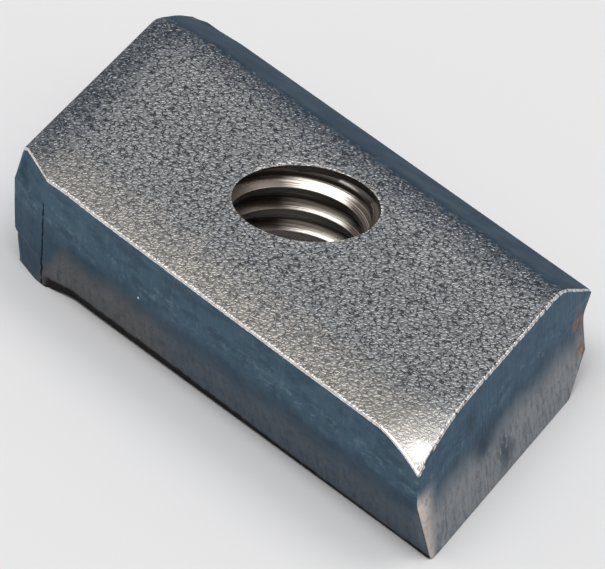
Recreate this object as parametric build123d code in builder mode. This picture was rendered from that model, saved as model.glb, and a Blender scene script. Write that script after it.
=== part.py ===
from build123d import *
from math import cos, radians, sin, tan
import os

# A flat rhomboid nut, cropped from steel bar and tapped through for a metric screw.
# The origin is on the hole's axis at the underside, X runs along the long sides and +Z is up.

# Tapped hole
thread_diameter = 8.0
thread_pitch = 1.25
tapped_bore = thread_diameter - thread_pitch

# Outline seen from above, each distance measured square to its side from the hole's axis
nut_thickness = 6.0
near_side = 9.6
far_side = 9.88
near_end = 14.2
far_end = 14.4
end_angle = 62.6

# Sheared near side: smooth above, torn and undercut below, with a flat tab left at one corner
shear_depth = 3.0
side_undercut = 0.9
undercut_blend = 2.5
underside_break = 0.45
tab_width = 3.0
tab_facet_length = 2.7
tab_facet_depth = 0.75

# Rolled far side: a long slope down to a lip, then a hollow and a rounded bottom edge
roll_width = 3.68
roll_drop = 1.95
roll_blend = 3.0
lip_round = 0.2
lip_height = 0.75
side_hollow = 1.03
hollow_blend = 0.7
bottom_roll_width = 2.1
bottom_roll_height = 1.5
bottom_roll_blend = 1.2

# Cropped ends: the near one leans out and flares below the shear line, the far one matches it
end_lean = 0.42
end_flare = 0.85
flare_blend = 8.0
end_fall = 0.35
end_fall_width = 4.0
end_fall_blend = 10.0
end_roll = 0.6

# The sharp near corner is drawn down, the sharp far one drawn down and blunted
near_draw_angle = -8.0
near_draw_length = 2.0
near_draw_depth = 1.1
far_draw_angle = 165.0
far_draw_length = 5.5
far_draw_depth = 2.8
draw_start = 8.0
draw_turn = 75.0
blunt_setback_side = 1.4
blunt_setback_end = 3.6
blunt_bulge = 0.6

lean = radians(end_angle)
along_end = Vector(-cos(lean), sin(lean), 0)
square_to_end = Vector(sin(lean), cos(lean), 0)
overrun = near_end + far_end + near_side + far_side
shear_line = nut_thickness - shear_depth


def end_point(distance, y):
    """The plan point at this y on the line that runs along an end at this distance from the axis."""
    return Vector(distance / sin(lean) - y / tan(lean), y, 0)


def draw_plane(corner, angle):
    """An upright plane through a corner at the top face, with its x axis pointing outward."""
    outward = Vector(cos(radians(angle)), sin(radians(angle)), 0)
    top_corner = corner + Vector(0, 0, nut_thickness)
    return Plane(origin=top_corner, x_dir=outward, z_dir=outward.cross(Vector(0, 0, 1)))


tab_corner = end_point(-far_end, -near_side)
near_corner = end_point(near_end, -near_side)
far_corner = end_point(-far_end, far_side)

with BuildPart() as channel_nut:
    # The side profile, swept along the long sides
    lip_z = nut_thickness - roll_drop
    hollow_y = far_side - side_hollow
    with BuildSketch(Plane.YZ) as side_profile:
        with BuildLine():
            FilletPolyline(
                (-near_side + side_undercut + underside_break, 0),
                (-near_side + side_undercut, underside_break),
                (-near_side, shear_line),
                (-near_side, nut_thickness),
                (far_side - roll_width, nut_thickness),
                (far_side, lip_z),
                (hollow_y, lip_z - lip_height),
                (hollow_y, bottom_roll_height),
                (hollow_y - bottom_roll_width, 0),
                radius=[0, underside_break, undercut_blend, 0, roll_blend]
                + [lip_round, hollow_blend, bottom_roll_blend, 0],
                close=True,
            )
        make_face()
    extrude(amount=overrun, both=True)

    # The tab, where the near side was left square: it fills the undercut and ends in the smooth band
    tab_top = (shear_line + nut_thickness) / 2
    with BuildSketch(Plane.XY) as tab_plan:
        with Locations((tab_corner.X + tab_width, -near_side)):
            Rectangle(overrun, near_side, align=(Align.MAX, Align.MIN))
    extrude(amount=tab_top)

    # The end profile, swept along the slanted ends
    near_foot = near_end + end_lean + end_flare
    far_foot = -far_end + end_lean + end_flare
    with BuildSketch(Plane(origin=(0, 0, 0), x_dir=square_to_end, z_dir=-along_end)) as end_profile:
        with BuildLine():
            FilletPolyline(
                (near_foot, 0),
                (near_end + end_lean, shear_line),
                (near_end, nut_thickness),
                (-far_end + end_fall_width, nut_thickness),
                (-far_end, nut_thickness - end_fall),
                (-far_end + end_lean, shear_line),
                (far_foot, 0),
                radius=[0, flare_blend, 0, end_fall_blend, end_roll, flare_blend, 0],
                close=True,
            )
        make_face()
    extrude(amount=overrun, both=True, mode=Mode.INTERSECT)

    # The tab's facet, cut by a strip that runs past both ends of it
    facet_start = tab_corner + Vector(tab_facet_length, 0, 0)
    facet_end = end_point(-far_end, tab_facet_depth - near_side)
    facet_run = facet_end - facet_start
    with BuildSketch(Plane.XY) as facet_cut:
        with BuildLine():
            start = facet_start - facet_run
            end = facet_end + facet_run
            outside = Vector(0, -overrun, 0)
            Polyline(start, end, end + outside, start + outside, close=True)
        make_face()
    extrude(amount=nut_thickness, mode=Mode.SUBTRACT)

    # The blunted far corner
    blunt_side = far_corner + Vector(blunt_setback_side, 0, 0)
    blunt_end = far_corner - along_end * blunt_setback_end
    with BuildSketch(Plane.XY) as blunt_cut:
        with BuildLine():
            SagittaArc(blunt_side, blunt_end, -blunt_bulge)
            Polyline(
                blunt_end,
                blunt_end - square_to_end * overrun,
                far_corner + Vector(-overrun, overrun, 0),
                blunt_side + Vector(0, overrun, 0),
                blunt_side,
            )
        make_face()
    extrude(amount=nut_thickness, mode=Mode.SUBTRACT)

    # The drawn-down corners
    for corner, angle, length, depth in (
        (near_corner, near_draw_angle, near_draw_length, near_draw_depth),
        (far_corner, far_draw_angle, far_draw_length, far_draw_depth),
    ):
        # The bend starts at this angle to the top face and passes the corner at its depth
        start = radians(draw_start)
        bend_radius = (length**2 + depth**2) / 2 / (depth * cos(start) - length * sin(start))
        bend_centre = (-length - bend_radius * sin(start), -bend_radius * cos(start))
        with BuildSketch(draw_plane(corner, angle).offset(-overrun)):
            with BuildLine():
                bend = CenterArc(bend_centre, bend_radius, 90, -draw_turn)
                crown = bend @ 0
                foot = bend @ 1
                Polyline(foot, (overrun, foot.Y), (overrun, overrun), (crown.X, overrun), crown)
            make_face()
        extrude(amount=2 * overrun, mode=Mode.SUBTRACT)

    # The hole, tapped right through
    with Locations((0, 0, nut_thickness)):
        Hole(radius=tapped_bore / 2, depth=nut_thickness)

channel_nut.part.label = "channel_nut"

os.makedirs("parts", exist_ok=True)
export_step(channel_nut.part, "parts/channel_nut.step")
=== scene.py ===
import bmesh
import bpy
from math import atan, cos, exp, pi, radians, sin, sqrt, tan
from mathutils import Matrix, Vector, noise


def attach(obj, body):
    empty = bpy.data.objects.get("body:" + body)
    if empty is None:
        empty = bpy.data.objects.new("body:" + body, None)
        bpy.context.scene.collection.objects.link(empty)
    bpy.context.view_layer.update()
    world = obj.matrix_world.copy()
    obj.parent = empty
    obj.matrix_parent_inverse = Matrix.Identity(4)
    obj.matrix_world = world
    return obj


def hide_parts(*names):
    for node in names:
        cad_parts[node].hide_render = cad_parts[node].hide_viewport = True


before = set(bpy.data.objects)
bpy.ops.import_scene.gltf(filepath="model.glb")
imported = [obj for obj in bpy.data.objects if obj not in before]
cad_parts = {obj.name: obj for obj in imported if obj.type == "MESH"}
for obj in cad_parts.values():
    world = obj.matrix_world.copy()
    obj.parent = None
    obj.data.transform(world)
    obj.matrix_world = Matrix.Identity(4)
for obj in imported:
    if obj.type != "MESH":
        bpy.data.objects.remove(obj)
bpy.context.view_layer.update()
mm = 0.001


def clamp(x):
    return max(0.0, min(1.0, x))


def ease(x):  # 0 to 1 with a soft start and stop
    x = clamp(x)
    return x * x * (3 - 2 * x)


def bend(distance, slope, radius):  # a slope that starts at distance 0, with an arc into it
    angle = atan(slope)
    tangent = radius * tan(angle / 2)
    if distance <= -tangent:
        return 0.0
    if distance >= tangent * cos(angle):
        return slope * distance
    return radius - sqrt(radius**2 - (distance + tangent) ** 2)


def rough(x, y, z, size, seed):  # smooth noise from about -1 to 1, with lumps of this size in mm
    return noise.noise(Vector((x / size + seed, y / size - seed, z / size + 2 * seed)))


# The nut, in mm. The hole's axis is at x = y = 0 and the top face is up. The near side is at low y and
# has the tab at its low x, the ends slant, and the sharp corners are the near and the far one. A blend
# is the radius of the arc between two straight parts.
nut = dict(
    thickness=6.0, nearSide=9.6, farSide=9.88, nearEnd=14.3, farEnd=14.4, endAngle=62.6,
    # the blank: its cells, the rows up its sides and its rounded edges, half the opening at the hole, and
    # how far from the axis a place still counts as the hole's rim
    cell=0.2, rows=30, edgeRound=0.09, window=4.9, rimReach=4.4,
    # the near side, where a pair is for the tab's end and the near corner and changes over alongLength. The
    # sheared shape fades out inwards over sideFade
    shearDepth=3.0, undercut=(0.5, 0.85), undercutBlend=2.5, underBreak=0.3,
    footLift=(0.14, 0.05), footWidth=1.3, alongStart=-7.0, alongLength=26.0, sideFade=4.0,
    nearTaper=dict(depth=0.15, start=-3.0, length=8.0),
    nearRoll=dict(width=2.4, drop=0.1, blend=12.0, start=-9.0, length=14.0),
    # the tab, and the length and depth of its facet, which is deeper near the top
    tabWidth=2.85, tabLean=0.09, tabStep=0.22, tabStepWidth=0.15, tabBlend=2.8,
    facet=(2.7, 0.75), topFacet=(3.2, 1.6), facetHeight=1.9,
    facetStep=dict(depth=0.2, height=1.6, blend=0.2),
    # the far side: a roll on top, a lip, a hollow under it and a rounded bottom edge
    rollWidth=3.68, rollDrop=1.95, rollBlend=3.0, lipStart=9.5, lipGive=0.22, lipHeight=0.75,
    hollow=1.03, hollowBlend=0.7, bottomRollWidth=2.1, bottomRollHeight=1.5,
    # the ends lean and flare, and the top falls and rolls over at the far one
    endLean=0.34, endFlare=0.75, flareBlend=8.0, endFade=5.0,
    fall=0.35, fallWidth=4.0, fallBlend=10.0, endRoll=0.6,
    # the sharp corners: the far one is blunted, and the top is drawn down at both
    bluntSide=1.4, bluntEnd=3.6, bluntBulge=0.6,
    nearDraw=dict(angle=-12.0, length=3.9, depth=1.25, start=1.5),
    farDraw=dict(angle=165.0, length=5.5, depth=2.8, start=8.0),
)

lean = radians(nut["endAngle"])
top = nut["thickness"]
shearLine = top - nut["shearDepth"]


def endPoint(distance, y):  # the place at this distance from the hole, square to the ends, and at this y
    return Vector((distance / sin(lean) - y / tan(lean), y))


nearCorner = endPoint(nut["nearEnd"], -nut["nearSide"])
farCorner = endPoint(-nut["farEnd"], nut["farSide"])
tabCorner = endPoint(-nut["farEnd"], -nut["nearSide"])
sideNormal, endNormal = Vector((0, 1)), Vector((sin(lean), cos(lean)))


def pastCorner(x, y, corner, angle):  # how far a place lies beyond a corner, in this direction
    return (x - corner.x) * cos(radians(angle)) + (y - corner.y) * sin(radians(angle))


# where a corner is drawn down: the height over the top face, 0 or less. The start is a slope in degrees
def drawnHeight(x, y, corner, angle, length, depth, start):
    start = radians(start)
    out = pastCorner(x, y, corner, angle)
    if out <= -length:
        return 0.0
    radius = (length**2 + depth**2) / 2 / (depth * cos(start) - length * sin(start))
    reach = min(out + length + radius * sin(start), radius * 0.999)
    return sqrt(radius**2 - reach**2) - radius * cos(start)


def alongNear(ends, x):  # a value that changes along the near side, from the tab to the near corner
    return ends[0] + (ends[1] - ends[0]) * clamp((x - nut["alongStart"]) / nut["alongLength"])


def nearUndercut(x, z):  # how far the torn part of the near side stands back
    slope = alongNear(nut["undercut"], x) / (shearLine - nut["underBreak"])
    return bend(shearLine - z, slope, nut["undercutBlend"])


def endShift(z):  # how far an end stands out under its top edge
    shift = nut["endLean"] / nut["shearDepth"] * (top - z)
    return shift + bend(shearLine - z, (nut["endFlare"] - nut["endLean"]) / shearLine, nut["flareBlend"])


def facet(length, depth):  # a place on the tab's facet and the way it faces
    start = tabCorner + Vector((length, 0))
    along = (endPoint(-nut["farEnd"], depth - nut["nearSide"]) - start).normalized()
    return start, Vector((-along.y, along.x))


# A place in the blank is e, square to the ends, b across and c up. A place in the nut is x, y, z.
def cutBlank(e, b, c):  # cut the deeper part of the facet, before the blank is pressed
    p = endPoint(e, b)
    length, depth = nut["topFacet"]
    start, outward = facet(length, depth * clamp(1 - (top - c) / nut["facetHeight"]))
    p -= outward * max((p - start).dot(outward), 0)
    return p.x * sin(lean) + p.y * cos(lean), p.y


def topHeight(p, e, b, tip):  # the tip is how far the far end's edge has rolled over, up to a right angle
    n, near = nut, nut["nearRoll"]
    high = top - n["endRoll"] * (1 - cos(tip))
    high -= bend(n["fallWidth"] - n["farEnd"] - e, n["fall"] / n["fallWidth"], n["fallBlend"])
    high -= bend(b - n["farSide"] + n["rollWidth"], n["rollDrop"] / n["rollWidth"], n["rollBlend"])
    slope = near["drop"] / near["width"] * clamp((p.x - near["start"]) / near["length"])
    high -= bend(near["width"] - n["nearSide"] - b, slope, near["blend"])
    for corner, draw in ((nearCorner, n["nearDraw"]), (farCorner, n["farDraw"])):
        high = min(high, top + drawnHeight(p.x, p.y, corner, **draw))
    return high


def press(e, b, c):  # from the square blank to the cropped and rolled shape
    n, taper = nut, nut["nearTaper"]
    tip = clamp(1 - (e + n["farEnd"]) / n["endRoll"]) * pi / 2
    if tip > 0:
        e = n["endRoll"] * (1 - sin(tip)) - n["farEnd"]
    p = endPoint(e, b)
    high = topHeight(p, e, b, tip)
    # the underside rises along the far side's rounded edge, and a little along the near side
    lowStart = n["farSide"] - n["hollow"] - n["bottomRollWidth"]
    outer = clamp((b - lowStart) / (n["farSide"] - lowStart))
    low = n["bottomRollHeight"] * outer
    past = p.x - tabCorner.x - n["tabWidth"]
    nearness = ease(1 - (b + n["nearSide"]) / n["footWidth"])
    low += alongNear(n["footLift"], p.x) * ease(past / n["tabBlend"]) * nearness
    z = low + (high - low) * c / top
    # the near side, sheared above and torn away below, but for the tab
    past -= (top - z) * n["tabLean"]
    step = n["tabStep"] * ease(past / n["tabStepWidth"] + 0.5)
    share = step + (1 - n["tabStep"]) * ease(past / n["tabBlend"])
    inward = taper["depth"] * ease((taper["start"] - p.x) / taper["length"]) + share * nearUndercut(p.x, z)
    y = b + inward * clamp((n["sideFade"] - n["nearSide"] - b) / n["sideFade"])
    # the far side, hollow under its lip
    reach = bend(z - top + n["rollDrop"] + n["lipHeight"], n["hollow"] / n["lipHeight"], n["hollowBlend"])
    y -= outer * (n["hollow"] - min(reach, n["hollow"]))
    if y > n["lipStart"]:
        y = n["lipStart"] + n["lipGive"] * (1 - exp((n["lipStart"] - y) / n["lipGive"]))
    # the ends
    nearness = max(ease(1 - (n["nearEnd"] - e) / n["endFade"]), ease(1 - (e + n["farEnd"]) / n["endFade"]))
    e += endShift(z) * nearness
    return endPoint(e, y).x, y, z


def cutCorner(v):  # cut the tab's facet and blunt the far corner; says whether the place is on the facet
    step = nut["facetStep"]
    start, outward = facet(*nut["facet"])
    beyond = (v.xy - start).dot(outward) + step["depth"] * ease((step["height"] - v.z) / step["blend"])
    if beyond > 0:
        v.xy -= outward * beyond
    one = farCorner + Vector((nut["bluntSide"], 0))
    two = farCorner - Vector((-cos(lean), sin(lean))) * nut["bluntEnd"]
    chord = two - one
    outward = Vector((chord.y, -chord.x)).normalized()
    bulge = nut["bluntBulge"]
    radius = (chord.length**2 / 4 + bulge**2) / 2 / bulge
    centre = (one + two) / 2 + outward * (bulge - radius)
    if (v.xy - one).dot(outward) > 0 and (v.xy - centre).length > radius:
        v.xy = centre + (v.xy - centre).normalized() * radius
    return beyond > 0


# Wear on the sides and edges, in mm. The last number that rough() is given is its seed.
wear = dict(
    # the height at which a side turns from smooth to torn, its waves, and how it rises past the tab
    tearNear=2.5, tearEnd=2.5, tearWave=0.5, waveSizes=(3.2, 0.8), tearBlend=1.7,
    tearStart=-0.3, tearRise=2.4,
    # lumps, grit and chips where a side is torn and ripples where it is smooth, in full below fullDepth
    tornDepth=0.07, tornLump=0.7, grit=0.03, gritSize=0.3, footChip=0.22, chipSize=0.9, chipTop=0.2,
    ripple=0.012, rippleSize=0.5, rippleStretch=6.0, fullDepth=0.6,
    # how bright the painted highlights on the edges are, and the beads in them
    edgeShine=dict(near=1.0, nearEnd=0.8, far=0.45, farEnd=0.4), edgeBead=0.035, beadSize=0.35,
    # the upright edge at the near corner and the painted highlight on its rounding, the burr at the far
    # corner and where the grain on top ends
    ridge=dict(top=4.3, blend=2.2, sharp=0.08, round=0.5, foot=0.3, footBlend=1.6),
    ridgeShine=dict(share=1.25, reach=0.7, spread=0.4, top=4.0, blend=1.2),
    burr=dict(x=-19.1, width=0.75, height=0.12, y=9.0, blend=0.6),
    grainEnd=dict(roll=0.1, draw=2.2, blend=1.8),
)


def ridgePoint(z):
    return endPoint(nut["nearEnd"] + endShift(z), nearUndercut(nearCorner.x, z) - nut["nearSide"])


def roundRidge(v):  # the upright edge at the near corner, sharp above and rounded below
    r = wear["ridge"]
    foot = r["foot"] + (1 - r["foot"]) * ease(v.z / r["footBlend"])
    radius = r["sharp"] + r["round"] * ease((r["top"] - v.z) / r["blend"]) * foot
    outward = (endNormal - sideNormal).normalized()
    spread = outward.dot(endNormal)
    centre = ridgePoint(v.z) - outward * radius / spread
    away = v.xy - centre
    if away.length > radius and away.dot(outward) > away.length * spread:
        v.xy = centre + away * (radius / away.length)


def tearHeight(x, y, end):  # where a sheared side turns from smooth to torn, but for the smooth tab
    height = wear["tearEnd"] if end else wear["tearNear"]
    long, short = wear["waveSizes"]
    height += wear["tearWave"] * (rough(x, y, 0, long, 3) + 0.5 * rough(x, y, 0, short, 7))
    if end or y > 0:
        return height
    return height * ease((x - tabCorner.x - nut["tabWidth"] - wear["tearStart"]) / wear["tearRise"])


def grainShare(x, y):  # the grain fades out where the top rolls over
    fade, draw = wear["grainEnd"], nut["farDraw"]
    rolled = y - nut["farSide"] + nut["rollWidth"]
    drawn = pastCorner(x, y, farCorner, draw["angle"]) + draw["length"]
    return clamp(0.5 - max(rolled + fade["roll"], drawn - fade["draw"]) / fade["blend"])


def weather(v, outward, torn, foot):  # lumps, ripples and chips on one sheared side
    w = wear
    x, y, z = v
    lumps = w["tornDepth"] * (0.5 + 0.5 * rough(x, y, z, w["tornLump"], 11))
    lumps += w["grit"] * rough(x, y, z, w["gritSize"], 5)
    ripples = w["ripple"] * (0.5 + 0.5 * rough(x, y, z / w["rippleStretch"], w["rippleSize"], 17))
    v.xy -= outward * (torn * max(lumps, 0) + (1 - torn) * ripples)
    if foot:
        v.z += w["footChip"] * max(rough(x, y, 0, w["chipSize"], 23), 0) ** 1.5


def makeBlank():
    wide, long = nut["nearSide"] + nut["farSide"], nut["nearEnd"] + nut["farEnd"]
    bm = bmesh.new()
    cells = [round(length / nut["cell"]) for length in (long, wide)]
    bmesh.ops.create_grid(bm, x_segments=cells[0], y_segments=cells[1], size=0.5)
    bmesh.ops.scale(bm, vec=(long, wide, 1), verts=bm.verts)
    middle = Vector(((nut["nearEnd"] - nut["farEnd"]) / 2, (nut["farSide"] - nut["nearSide"]) / 2, 0))
    bmesh.ops.translate(bm, vec=middle, verts=bm.verts)
    made = bmesh.ops.extrude_face_region(bm, geom=bm.faces[:], use_keep_orig=True)["geom"]
    bmesh.ops.translate(bm, vec=(0, 0, top), verts=[g for g in made if isinstance(g, bmesh.types.BMVert)])
    bmesh.ops.recalc_face_normals(bm, faces=bm.faces)
    upright = [e for e in bm.edges if abs(e.verts[0].co.z - e.verts[1].co.z) > 1]
    bmesh.ops.subdivide_edges(bm, edges=upright, cuts=nut["rows"] - 1, use_grid_fill=True)
    corners = [e for e in bm.edges if e.is_manifold and e.calc_face_angle() > 1]
    bmesh.ops.bevel(bm, geom=corners, offset=nut["edgeRound"], segments=2, profile=0.5, affect="EDGES",
                    material=-1)
    return bm


def openWindow(bm):  # a square opening round the hole, in the top and the underside
    half = nut["window"]
    middles = [(f, f.calc_center_median()) for f in bm.faces]
    inside = [f for f, m in middles if max(abs(m.x), abs(m.y)) < half and not 0.01 < m.z < top - 0.01]
    bmesh.ops.delete(bm, geom=inside, context="FACES")


def shapeBlank(bm):  # press, cut and wear the blank, and mark what the finish needs to know
    n, w = nut, wear
    layers = bm.verts.layers.float
    marks = {name: layers.new(name) for name in ("top", "edge", "end", "torn", "grain", "rim", "ridge")}
    edgeBand, shine, burr = n["edgeRound"] * 1.05, w["ridgeShine"], w["burr"]
    for v in bm.verts:
        e, b, c = v.co
        gaps = dict(near=b + n["nearSide"], far=n["farSide"] - b,
                    nearEnd=n["nearEnd"] - e, farEnd=e + n["farEnd"])
        nearest = min(gaps, key=gaps.get)
        onEdge = max(min(gaps.values()), top - c) < edgeBand
        v[marks["top"]] = float(c > top - 0.001)
        # the edge mark sets how strong the painted highlight along each edge is
        v[marks["edge"]] = onEdge * w["edgeShine"][nearest]
        v[marks["end"]] = float(nearest.endswith("End"))
        cutE, cutB = cutBlank(e, b, c)
        v.co = press(cutE, cutB, c)
        if cutCorner(v.co) or abs(cutE - e) > 0.001:
            onEdge = c > top - edgeBand
            v[marks["edge"]] = float(onEdge)
        roundRidge(v.co)
        x, y, z = v.co
        torn = clamp((tearHeight(x, y, nearest == "nearEnd") - z) / w["tearBlend"] + 0.5)
        v[marks["torn"]] = torn
        v[marks["grain"]] = grainShare(x, y)
        # where the painted highlight on the near corner's ridge falls
        away = (v.co.xy - ridgePoint(z)).length / (shine["reach"] + shine["spread"] * z)
        closeness = ease(shine["share"] - away) * ease((shine["top"] - z) / shine["blend"])
        v[marks["ridge"]] = closeness * (nearest == "nearEnd")
        depth = clamp((top - c) / w["fullDepth"])
        for name, outward in (("near", -sideNormal), ("nearEnd", endNormal), ("farEnd", -endNormal)):
            if gaps[name] < 0.01 and depth:
                weather(v.co, outward * depth, torn, c < w["chipTop"])
        if onEdge:
            v.co.z -= w["edgeBead"] * (0.5 + 0.5 * rough(x, y, z, w["beadSize"], 31))
        lift = burr["height"] * exp(-((x - burr["x"]) / burr["width"]) ** 2)
        v.co.z += lift * ease((y - burr["y"]) / burr["blend"]) * c / top
    return marks


# The thread, in mm: the radii of crest and root, and how much of the pitch is flat at each. Its mouth is
# plain, a little off the axis, and opens between two depths under the top face.
thread = dict(
    crest=3.375, root=4.0, pitch=1.25, crestFlat=0.30, rootFlat=0.16, phase=0.383, turns=8, steps=160,
    mouth=3.72, mouthCentre=(0.14, 0.31), mouthDepths=(0.62, 0.38),
)


def openMouth(bm, mouthStart, mouthEnd):
    t, offset = thread, Vector(thread["mouthCentre"])
    for v in bm.verts:
        if v.co.z > mouthStart + 0.001:
            angle = v.co.xy.normalized()
            along = angle.dot(offset)
            reach = along + sqrt(t["mouth"] ** 2 - offset.length_squared + along**2)
            share = clamp((v.co.z - mouthStart) / (mouthEnd - mouthStart))
            opening = t["crest"] + (reach - t["crest"]) * share
            v.co.xy = angle * (reach if v.co.z > top - 0.001 else max(v.co.xy.length, opening))


def cutThread():
    t = thread
    half, rootHalf = t["crestFlat"] / 2, t["rootFlat"] / 2
    corners = [(t["crest"], -half), (t["crest"], half), (t["root"], t["pitch"] / 2 - rootHalf),
               (t["root"], t["pitch"] / 2 + rootHalf), (t["crest"], t["pitch"] - half)]
    bm = bmesh.new()
    startAngle = 2 * pi * t["phase"]
    low = top - (t["turns"] - 1) * t["pitch"]
    line = [bm.verts.new((r * cos(startAngle), r * sin(startAngle), low + z)) for r, z in corners]
    edges = [bm.edges.new(pair) for pair in zip(line, line[1:])]
    bmesh.ops.subdivide_edges(bm, edges=[edges[1], edges[3]], cuts=2)
    bmesh.ops.spin(bm, geom=bm.verts[:] + bm.edges[:], cent=(0, 0, 0), axis=(0, 0, 1),
                   angle=2 * pi * t["turns"], steps=t["turns"] * t["steps"],
                   dvec=(0, 0, t["pitch"] / t["steps"]))
    bmesh.ops.remove_doubles(bm, verts=bm.verts, dist=0.001)
    mouthStart, mouthEnd = (top - depth for depth in t["mouthDepths"])
    for z, outward in ((0, -1), (top, 1), (mouthStart, 0), (mouthEnd, 0)):
        bmesh.ops.bisect_plane(bm, geom=bm.verts[:] + bm.edges[:] + bm.faces[:], dist=1e-5,
                               plane_co=(0, 0, z), plane_no=(0, 0, outward or 1), clear_outer=bool(outward))
    openMouth(bm, mouthStart, mouthEnd)
    for e in bm.edges:
        e.smooth = e.is_boundary or e.calc_face_angle() < 0.4
    for face in bm.faces:
        face.material_index = 1
    return bm


def joinBore(bm, bore, marks):  # fill the opening in the blank, from its square edge to the thread
    mesh = bpy.data.meshes.new("bore")
    bore.to_mesh(mesh)
    bore.free()
    bm.from_mesh(mesh)
    bpy.data.meshes.remove(mesh)
    for z in (0, top):
        rims = [e for e in bm.edges if e.is_boundary and all(abs(v.co.z - z) < 0.01 for v in e.verts)]
        print("rim at", z, len(rims), "edges")
        collar = bmesh.ops.bridge_loops(bm, edges=rims)["faces"]
        for v in {v for face in collar for v in face.verts}:
            v[marks["top"]] = v[marks["grain"]] = z / top
            # the rim mark places the painted highlight round the hole
            v[marks["rim"]] = float(v.co.xy.length < nut["rimReach"])
        for e in rims:
            e.smooth = max(v.co.xy.length for v in e.verts) > nut["rimReach"]


def makeNut():
    bm = makeBlank()
    print("blank", len(bm.verts), "vertices")
    openWindow(bm)
    marks = shapeBlank(bm)
    joinBore(bm, cutThread(), marks)
    bmesh.ops.recalc_face_normals(bm, faces=bm.faces)
    print("open edges", sum(not e.is_manifold for e in bm.edges))
    print("triangles", sum(len(f.verts) - 2 for f in bm.faces))
    bmesh.ops.scale(bm, vec=(mm, mm, mm), verts=bm.verts)
    data = bpy.data.meshes.new("channelNut")
    bm.to_mesh(data)
    bm.free()
    for face in data.polygons:
        face.use_smooth = True
    piece = bpy.data.objects.new("channelNut", data)
    bpy.context.scene.collection.objects.link(piece)
    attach(piece, "root")
    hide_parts("channel_nut")
    return piece


class Value:  # a socket whose sums and products add Math nodes
    def __init__(self, finish, socket):
        self.finish, self.socket = finish, socket

    def __add__(self, other):
        return self.finish.math("ADD", self, other)

    def __sub__(self, other):
        return self.finish.math("SUBTRACT", self, other)

    def __mul__(self, other):
        return self.finish.math("MULTIPLY", self, other)

    def __truediv__(self, other):
        return self.finish.math("DIVIDE", self, other)

    def __radd__(self, other):
        return self.finish.math("ADD", other, self)

    def __rsub__(self, other):
        return self.finish.math("SUBTRACT", other, self)

    def __rmul__(self, other):
        return self.finish.math("MULTIPLY", other, self)


class Finish:  # a material and its nodes
    def __init__(self, name):
        self.material = bpy.data.materials.new(name)
        self.material.use_nodes = True
        self.tree = self.material.node_tree
        self.shader = self.tree.nodes["Principled BSDF"]
        self.where = self.node("ShaderNodeTexCoord", output="Object")

    def node(self, kind, settings=None, inputs=None, output=0):
        made = self.tree.nodes.new(kind)
        for key, value in (settings or {}).items():
            setattr(made, key, value)
        for key, value in (inputs or {}).items():
            self.give(made.inputs[key], value)
        return Value(self, made.outputs[output])

    def give(self, socket, value):
        if isinstance(value, Value):
            self.tree.links.new(value.socket, socket)
        else:
            socket.default_value = value

    def math(self, operation, *values):
        return self.node("ShaderNodeMath", {"operation": operation}, dict(enumerate(values)))

    def place(self, scale=(1, 1, 1)):  # the place on the piece, in mm times this scale
        inputs = {"Vector": self.where, "Scale": [s / mm for s in scale]}
        return self.node("ShaderNodeMapping", {"vector_type": "POINT"}, inputs)

    def axes(self):
        parts = self.node("ShaderNodeSeparateXYZ", None, {0: self.place()})
        return [Value(self, socket) for socket in parts.socket.node.outputs]

    def noise(self, scale, detail=2.0, roughness=0.5, output=0):  # on the place, or on another vector
        vector = scale if isinstance(scale, Value) else self.place(scale)
        inputs = {"Vector": vector, "Scale": 1.0, "Detail": detail, "Roughness": roughness}
        return self.node("ShaderNodeTexNoise", None, inputs, output)

    def shift(self, one, share, two):  # one times share, added to two
        inputs = {0: one, 1: (share,) * 3, 2: two}
        return self.node("ShaderNodeVectorMath", {"operation": "MULTIPLY_ADD"}, inputs)

    def between(self, value, low, high):  # 0 at low, 1 at high and soft between
        inputs = {"Value": value, "From Min": low, "From Max": high}
        return self.node("ShaderNodeMapRange", {"interpolation_type": "SMOOTHSTEP"}, inputs)

    def mix(self, share, one, two):
        return self.node("ShaderNodeMix", {"data_type": "RGBA"}, {0: share, 6: one, 7: two}, 2)

    def near(self, spot):  # 1 at this spot, 0 beyond its reach, the last of its four numbers
        inputs = {0: self.where, 1: [p * mm for p in spot[:3]]}
        distance = self.node("ShaderNodeVectorMath", {"operation": "DISTANCE"}, inputs, "Value")
        return self.between(distance, spot[3] * mm, 0)

    def attribute(self, name):
        return self.node("ShaderNodeAttribute", {"attribute_name": name}, None, "Fac")

    def bump(self, height, distance, strength=1.0, under=None):
        inputs = {"Height": height, "Distance": distance * mm, "Strength": strength}
        if under:
            inputs["Normal"] = under
        return self.node("ShaderNodeBump", None, inputs, "Normal")


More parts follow.
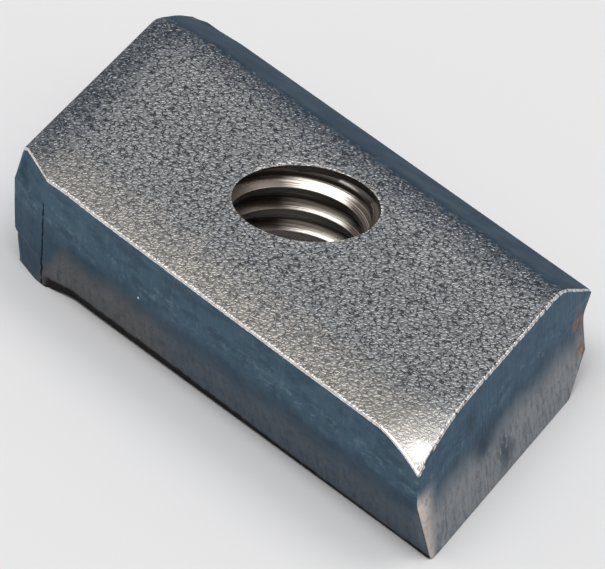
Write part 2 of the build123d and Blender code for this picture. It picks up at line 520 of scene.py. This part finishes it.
# The steel's colours, and its places in mm: a pair is where a mask starts and where it is full, and a
# spot is x, y, z and reach. The cell size is of the grain's raised cells, the line width a share of it.
steel = dict(
    # the top: grain, painted warm light by the near side, a painted dark reflection down the far end and far
    # side, and a painted highlight at the near corner
    grainLight=(0.60, 0.61, 0.61, 1), grainMiddle=(0.37, 0.38, 0.39, 1), grainDark=(0.065, 0.072, 0.084, 1),
    paintedWarmLight=(0.68, 0.62, 0.53, 1), shade=(0.045, 0.075, 0.115, 1), paintedCornerHighlight=(0.82, 0.80, 0.76, 1),
    # roll is a painted dark blue reflection on the far roll
    roll=(0.05, 0.085, 0.13, 1), cellSize=0.27, cellDepth=0.03, swirl=1.1, lineWidth=(0.24, 0.03),
    warmLightBand=(-4.5, -9.6), fallBand=(3.2, 0.8), farBand=(3.4, 6.0),
    paintedCornerHighlightSpot=(20.2, -8.7, 5.2, 1.1), calmSpot=(20.2, -8.7, 5.2, 5.5),
    # the smooth upper part of the sides, whose dark blue is a painted reflection
    paintedBlueReflection=(0.075, 0.125, 0.17, 1), paintedBlueReflectionEnd=(0.066, 0.118, 0.172, 1), wisp=(0.15, 0.21, 0.26, 1),
    smudge=(0.045, 0.07, 0.10, 1), fleckLow=(3.2, 3.8), fleckHigh=(4.8, 4.2), dullBand=(3.8, 2.9),
    smudges=((18.5, -3.9, 4.5, 1.3), (17.7, -2.6, 2.8, 1.8), (16.7, -0.6, 1.0, 1.6)),
    # the torn lower part
    tornSide=(0.15, 0.175, 0.205, 1), tornWarm=(0.19, 0.19, 0.19, 1), tornEnd=(0.37, 0.385, 0.40, 1),
    pit=(0.05, 0.05, 0.06, 1), tornWarmAlong=(4.5, -1.5),
    # a painted shadow line along the step beside the tab, and a painted contact shadow at the foot of the
    # near side, which sinks towards the near corner
    paintedStepShadow=(0.014, 0.014, 0.018, 1), stepShadowWidth=(0.11, 0.04), stepShadowTop=(4.7, 4.2),
    foot=(0.035, 0.031, 0.029, 1), footTop=(0.66, 0.46), footSink=0.35, footSinkAlong=(-4, 20),
    nearSideOnly=(-8.2, -8.6),
    # rust, painted highlights on the edges and on the near corner's ridge, and specks
    rust=(0.33, 0.18, 0.11, 1), ridge=(0.72, 0.63, 0.58, 1),
    rustSpots=((12.2, 8.2, 3.1, 1.2), (12.3, 8.3, 1.6, 1.0), (-19.9, 9.3, 4.1, 0.9), (-8.4, 9.6, 4.0, 0.4)),
    edge=(1.0, 1.0, 0.98, 1), edgeDim=(0.86, 0.79, 0.71, 1), grazing=(0.62, 0.66, 0.7, 1),
    specks=((-0.28, -9.6, 3.26, 0.1), (-7.15, 9.6, 4.05, 0.12)),
    # the roughness, what each place adds to it, and the depth of the fine relief on the sides
    roughness=0.34, tornRougher=0.25, grainRougher=0.06, rollRougher=0.2, tornRelief=0.05, streakRelief=0.03,
)


# Noise is mostly between 0.3 and 0.7, so a pair of numbers in that range sets how much of the steel it
# covers. This gives the colour on top, the grain's share there, its height and its relief's strength.
def grainedTop(f, x, y, paintedCornerHighlight, broad, middle, fine):
    s, calm = steel, f.near(steel["calmSpot"])
    # small raised cells with broken dark lines between them, calmer by the painted highlight at the near
    # corner
    swirled = f.shift(f.noise((4,) * 3, 2, 0.5, "Color"), s["swirl"], f.place((1 / s["cellSize"],) * 3))
    cells = f.node("ShaderNodeTexVoronoi", {"feature": "DISTANCE_TO_EDGE"}, {"Vector": swirled, "Scale": 1.0},
                   "Distance")
    broken = 0.3 + 0.7 * f.between(f.noise((3.0,) * 3, 2), 0.4, 0.58)
    lines = f.between(cells, *s["lineWidth"]) * broken * (1 - paintedCornerHighlight) * (1 - 0.7 * calm)
    plain = f.mix(f.between(fine, 0.35, 0.65), s["grainMiddle"], s["grainLight"])
    # painted warm light by the near side, and a painted dark reflection down the far end and the far roll
    warmLight = f.between(y + (middle - 0.5) * 3, *s["warmLightBand"])
    plain = f.mix(warmLight * 0.6, plain, s["paintedWarmLight"])
    lines = lines * (1 - 0.35 * warmLight)
    fallStart, fallEnd = (distance - nut["farEnd"] for distance in s["fallBand"])
    fallen = f.between(x * sin(lean) + y * cos(lean) + (middle - 0.5) * 3, fallStart, fallEnd)
    far = f.between(y + (middle - 0.5) * 2, *s["farBand"])
    # a painted dark blue reflection with light specks, down the far end and the far side
    shaded = f.mix(f.between(fine, 0.5, 0.62), s["shade"], s["grainLight"])
    plain = f.mix(1 - (1 - 0.7 * fallen) * (1 - 0.75 * far), plain, shaded)
    # the painted highlight at the near corner covers the grain there
    grained = f.mix(paintedCornerHighlight, f.mix(lines, plain, s["grainDark"]), s["paintedCornerHighlight"])
    # the grain gives way to a smooth roll, painted a dark blue reflection
    grain = f.between(f.attribute("grain") + (middle - 0.5) * 1.1, 0.3, 0.7)
    rolled = f.mix(f.between(broad, 0.35, 0.65), s["roll"], s["paintedBlueReflection"])
    relief = grain * (1 - 0.8 * paintedCornerHighlight) * (1 - 0.5 * calm)
    return f.mix(grain, rolled, grained), grain, f.between(cells, 0, 0.35), relief


def shearedSides(f, x, y, z, broad, middle, fine):  # their colour, the torn share and the streaks
    s, endPart = steel, f.attribute("end")
    streaks = f.noise((3.5, 3.5, 0.4), 3, 0.6)
    flecks = f.noise((1.5, 1.5, 3.4), 5, 0.7)
    # smooth above, dark with a painted blue reflection
    band = f.between(z, *s["fleckLow"]) * f.between(z, *s["fleckHigh"])
    smooth = f.mix(endPart, s["paintedBlueReflection"], s["paintedBlueReflectionEnd"])
    smooth = f.mix(f.between(streaks, 0.5, 0.8) * 0.35, smooth, s["wisp"])
    smooth = f.mix(f.between(f.noise((0.6, 0.6, 1.8), 4, 0.65), 0.45, 0.62) * 0.55, smooth, s["smudge"])
    smooth = f.mix(f.between(flecks, 0.5, 0.68) * (0.2 + 0.6 * band), smooth, s["wisp"])
    smooth = f.mix(f.between(z + (broad - 0.5) * 2, *s["dullBand"]) * 0.5, smooth, s["smudge"])
    # torn and paler below
    ragged = f.mix(f.between(x + (broad - 0.5) * 6, *s["tornWarmAlong"]), s["tornSide"], s["tornWarm"])
    ragged = f.mix(endPart, ragged, s["tornEnd"])
    ragged = f.mix(f.between(middle + streaks, 0.8, 1.5) * 0.6, ragged, s["smudge"])
    ragged = f.mix(f.between(fine, 0.62, 0.74) * 0.5, ragged, s["pit"])
    torn = f.between(f.attribute("torn") + (middle + streaks - 1) * 0.45, 0.0, 1.0)
    colour = f.mix(torn, smooth, ragged)
    for spot in s["smudges"]:
        colour = f.mix(f.near(spot) * f.between(middle, 0.3, 0.5), colour, s["smudge"])
    # a painted highlight on the rounded ridge at the near corner
    colour = f.mix(f.attribute("ridge") * f.between(middle, 0.2, 0.5), colour, s["ridge"])
    # the painted shadow line along the step and the painted contact shadow at the foot, on the near side only
    fromTab = x - (tabCorner.x + nut["tabWidth"]) - (top - z) * nut["tabLean"] + (middle - 0.5) * 0.3
    paintedStepShadow = f.between(f.math("ABSOLUTE", fromTab), *s["stepShadowWidth"]) * f.between(z, *s["stepShadowTop"])
    sunk = s["footSink"] * f.between(x, *s["footSinkAlong"])
    # foot masks the painted contact shadow
    foot = f.between(z + (middle - 0.5) * 0.25 + sunk, *s["footTop"]) * f.between(fromTab, 0.0, 0.5)
    nearSide = f.between(y, *s["nearSideOnly"]) * (1 - endPart)
    colour = f.mix(paintedStepShadow * f.between(fine, 0.3, 0.5) * nearSide, colour, s["paintedStepShadow"])
    return f.mix(foot * nearSide, colour, s["foot"]), torn, streaks


def steelFinish():
    s, f = steel, Finish("croppedSteel")
    x, y, z = f.axes()
    broad, middle, fine = f.noise((0.6,) * 3, 3), f.noise((2.4,) * 3, 3, 0.6), f.noise((7,) * 3, 3, 0.6)
    # a mask for the painted highlight at the near corner
    topPart, paintedCornerHighlight = f.attribute("top"), f.near(s["paintedCornerHighlightSpot"])
    sidePart = 1 - topPart
    topColour, grain, cells, relief = grainedTop(f, x, y, paintedCornerHighlight, broad, middle, fine)
    sideColour, torn, streaks = shearedSides(f, x, y, z, broad, middle, fine)
    colour = f.mix(topPart, sideColour, topColour)
    for spot in s["rustSpots"]:
        colour = f.mix(f.near(spot) * f.between(middle, 0.42, 0.58), colour, s["rust"])
    # painted highlights: beads along the edges, and a line round the hole that fades towards the near side
    beads = f.noise((4.5,) * 3, 2, 0.6)
    bright = f.between(f.attribute("edge") * (1 - 0.5 * paintedCornerHighlight) + (beads - 0.5) * 0.9, 0.62, 0.84)
    rim = f.between(f.attribute("rim"), 0.88, 0.96) * f.between(beads, 0.42, 0.56)
    rim = rim * (0.3 + 0.7 * f.between(y - 0.3 * x, 0.5, 2.0))
    edgeColour = f.mix(f.between(f.noise((5.5,) * 3, 1), 0.42, 0.56), s["edgeDim"], s["edge"])
    colour = f.mix(1 - (1 - bright) * (1 - rim), colour, edgeColour)
    for spot in s["specks"]:
        colour = f.mix(f.near(spot), colour, s["edge"])
    f.give(f.shader.inputs["Base Color"], colour)
    f.shader.inputs["Metallic"].default_value = 1.0
    f.shader.inputs["Specular Tint"].default_value = s["grazing"]
    roughness = s["roughness"] + torn * sidePart * s["tornRougher"]
    roughness = roughness + grain * topPart * s["grainRougher"] + (1 - grain) * topPart * s["rollRougher"]
    f.give(f.shader.inputs["Roughness"], roughness)
    height = f.bump(cells, s["cellDepth"], relief * topPart)
    height = f.bump(fine, s["tornRelief"], torn * sidePart, height)
    height = f.bump(streaks, s["streakRelief"], (1 - torn) * sidePart, height)
    f.give(f.shader.inputs["Normal"], height)
    return f.material


# The cut thread: bronze round the walls with painted glints, painted shade on the flats at crest and root,
# and a painted highlight where it faces this direction, in degrees from x.
cut = dict(
    bright=(0.98, 0.92, 0.83, 1), streak=(0.34, 0.29, 0.25, 1), bronze=(0.15, 0.125, 0.105, 1),
    glint=(0.5, 0.43, 0.36, 1), dark=(0.17, 0.155, 0.145, 1),
    roughness=0.33, shineAt=122.0, lineScale=5.0, lineDepth=0.01,
)


def threadFinish():
    c, f, t = cut, Finish("cutThread"), thread
    x, y, z = f.axes()
    # fine lines that run along the turns
    turn = z * (2 * pi / t["pitch"]) - f.math("ARCTAN2", y, x)
    around = f.node("ShaderNodeCombineXYZ", None, {0: f.math("COSINE", turn), 1: f.math("SINE", turn)})
    lines = f.noise(f.shift(around, c["lineScale"], f.place((0.25, 0.25, 0.0))), 4.0, 0.65)
    # painted shade on the flats at crest and root and in the mouth; the flanks between them keep their colour
    radius = f.math("SQRT", x * x + y * y)
    flank = f.between(radius, t["crest"], t["crest"] + 0.06) * f.between(radius, t["root"], t["root"] - 0.12)
    mouthEnd = top - t["mouthDepths"][1]
    flank = flank * f.between(z, mouthEnd, mouthEnd - 0.1)
    # painted highlight colours, with darker streaks along the turns
    lit = f.mix(f.between(lines, 0.36, 0.52), c["streak"], c["bright"])
    walls = f.mix(f.between(lines, 0.52, 0.64), c["bronze"], c["glint"])
    # the painted highlight shows where the walls face shineAt
    facing = (x * cos(radians(c["shineAt"])) + y * sin(radians(c["shineAt"]))) / radius
    colour = f.mix(f.between(facing + (lines - 0.5) * 0.15, 0.82, 0.97), walls, lit)
    f.give(f.shader.inputs["Base Color"], f.mix(flank, c["dark"], colour))
    f.shader.inputs["Metallic"].default_value = 1.0
    f.shader.inputs["Roughness"].default_value = c["roughness"]
    f.give(f.shader.inputs["Normal"], f.bump(lines, c["lineDepth"]))
    return f.material


piece = makeNut()
for finish in (steelFinish(), threadFinish()):
    piece.data.materials.append(finish)
print("finishes done")

# A pale floor, two soft lamps overhead and a world that is darker towards the horizon. Sizes are in
# metres, and a lamp has a place, a size and a power.
studio = dict(
    floorSize=2.0, floorColour=(0.8, 0.8, 0.8, 1), floorRoughness=0.9,
    horizon=(0.36, 0.35, 0.34, 1), zenith=(0.6, 0.6, 0.62, 1),
    lamps=dict(key=((-0.04, -0.19, 0.66), 0.45, 1.9), back=((0.058, 0.325, 0.61), 0.35, 0.9)),
)


def layFloor():
    bm = bmesh.new()
    bmesh.ops.create_grid(bm, x_segments=1, y_segments=1, size=studio["floorSize"] / 2)
    mesh = bpy.data.meshes.new("floor")
    bm.to_mesh(mesh)
    bm.free()
    floor = bpy.data.objects.new("floor", mesh)
    bpy.context.scene.collection.objects.link(floor)
    paint = Finish("paleFloor")
    paint.shader.inputs["Base Color"].default_value = studio["floorColour"]
    paint.shader.inputs["Roughness"].default_value = studio["floorRoughness"]
    mesh.materials.append(paint.material)


def lightWorld():
    world = bpy.data.worlds.new("studio")
    world.use_nodes = True
    sky = world.node_tree
    where = sky.nodes.new("ShaderNodeTexCoord")
    parts = sky.nodes.new("ShaderNodeSeparateXYZ")
    shades = sky.nodes.new("ShaderNodeMix")
    shades.data_type = "RGBA"
    shades.inputs[6].default_value, shades.inputs[7].default_value = studio["horizon"], studio["zenith"]
    sky.links.new(where.outputs["Generated"], parts.inputs[0])
    sky.links.new(parts.outputs["Z"], shades.inputs[0])
    sky.links.new(shades.outputs[2], sky.nodes["Background"].inputs["Color"])
    bpy.context.scene.world = world


def hangLamps():
    for name, (spot, size, power) in studio["lamps"].items():
        light = bpy.data.lights.new(name, "AREA")
        light.energy, light.size = power, size
        lamp = bpy.data.objects.new(name, light)
        turned = Vector(spot).to_track_quat("Z", "Y").to_matrix().to_4x4()
        lamp.matrix_world = Matrix.Translation(spot) @ turned
        bpy.context.scene.collection.objects.link(lamp)


layFloor()
lightWorld()
hangLamps()
print("studio done")

# The camera, with angles in degrees, its distance and lens in mm, and the picture in pixels. It looks
# down at the hole's axis where it meets the top face, which is at axisAt in the picture.
view = dict(elevation=30.57, turn=47.88, roll=6.63, distance=444.0, focalLength=535.5, sensorWidth=36,
            pixelsPerMm=20.27, width=605, height=569, axisAt=(299.6, 203.6))


def placeCamera():
    elevation, turn, roll = (radians(view[k]) for k in ("elevation", "turn", "roll"))
    back = Vector((sin(turn) * cos(elevation), -cos(turn) * cos(elevation), sin(elevation)))
    level = Vector((cos(turn), sin(turn), 0))
    upright = back.cross(level)
    right = level * cos(roll) + upright * sin(roll)
    up = upright * cos(roll) - level * sin(roll)
    aim = Vector((0, 0, top))
    aim -= right * (view["axisAt"][0] - view["width"] / 2) / view["pixelsPerMm"]
    aim += up * (view["axisAt"][1] - view["height"] / 2) / view["pixelsPerMm"]
    place = (aim + back * view["distance"]) * mm
    camera = bpy.data.objects.new("camera", bpy.data.cameras.new("camera"))
    camera.data.lens = view["focalLength"]
    camera.data.sensor_width = view["sensorWidth"]
    camera.matrix_world = Matrix.Translation(place) @ Matrix((right, up, back)).transposed().to_4x4()
    bpy.context.scene.collection.objects.link(camera)
    bpy.context.scene.camera = camera


placeCamera()
bpy.context.scene.view_settings.view_transform = "Standard"
